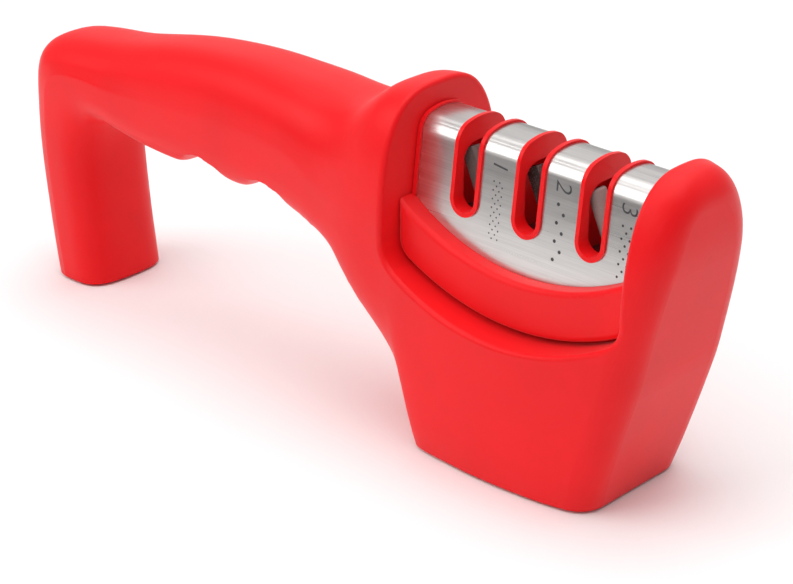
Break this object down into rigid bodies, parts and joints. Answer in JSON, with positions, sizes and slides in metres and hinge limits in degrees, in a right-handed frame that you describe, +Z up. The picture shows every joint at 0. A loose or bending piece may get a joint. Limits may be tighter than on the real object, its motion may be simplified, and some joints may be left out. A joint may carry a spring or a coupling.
{
  "type": "pull through knife sharpener",
  "caption": "Handheld pull-through knife sharpener with a grooved handle, a steel-covered sharpening cartridge with U-shaped knife slots and a flat padded base.",
  "frame": {"origin": "on the table, under the centre of the whole object's bounding box", "axes": "+X along the object from the leg at the handle's end to the front of the head, +Y across it, +Z up; the knife is drawn through the slots along Y"},
  "size_m": [0.2026, 0.0422, 0.0804],
  "materials": {
    "red_grip": "satin soft-touch moulding",
    "red_slot": "satin moulding",
    "inner_plastic": "satin moulding",
    "steel_sheet": "brushed",
    "ceramic": "grey ceramic with ground edges",
    "coarse_grit": "coarse grit on steel",
    "fine_grit": "fine pale grit",
    "base_plastic": "moulded",
    "pad_rubber": "matte anti-slip",
    "screw_steel": "zinc plated"
  },
  "bodies": {
    "sharpener_body": {"handle_body": "red_grip", "base_plate": "base_plastic", "base_pad": "pad_rubber", "base_screws": "screw_steel", "foot_plug": "base_plastic", "foot_pad": "pad_rubber", "foot_screw": "screw_steel"},
    "cartridge": {"cartridge_frame": "red_grip", "steel_cover": "steel_sheet", "slot_guide_1": "red_slot", "slot_guide_2": "red_slot", "slot_guide_3": "red_slot", "ceramic_blade_left": "ceramic", "ceramic_blade_right": "ceramic", "coarse_blade_left": "coarse_grit", "coarse_blade_right": "coarse_grit", "fine_rod_left": "fine_grit", "fine_rod_right": "fine_grit", "holder_1": "inner_plastic", "holder_2": "inner_plastic", "holder_3": "inner_plastic", "cartridge_base": "inner_plastic", "cartridge_screws": "screw_steel"}
  },
  "joints": [
    {"name": "cartridge_lift", "type": "slide", "parent": "sharpener_body", "child": "cartridge", "axis": [0, 0, 1], "range_m": [0, 0.048]}
  ]
}
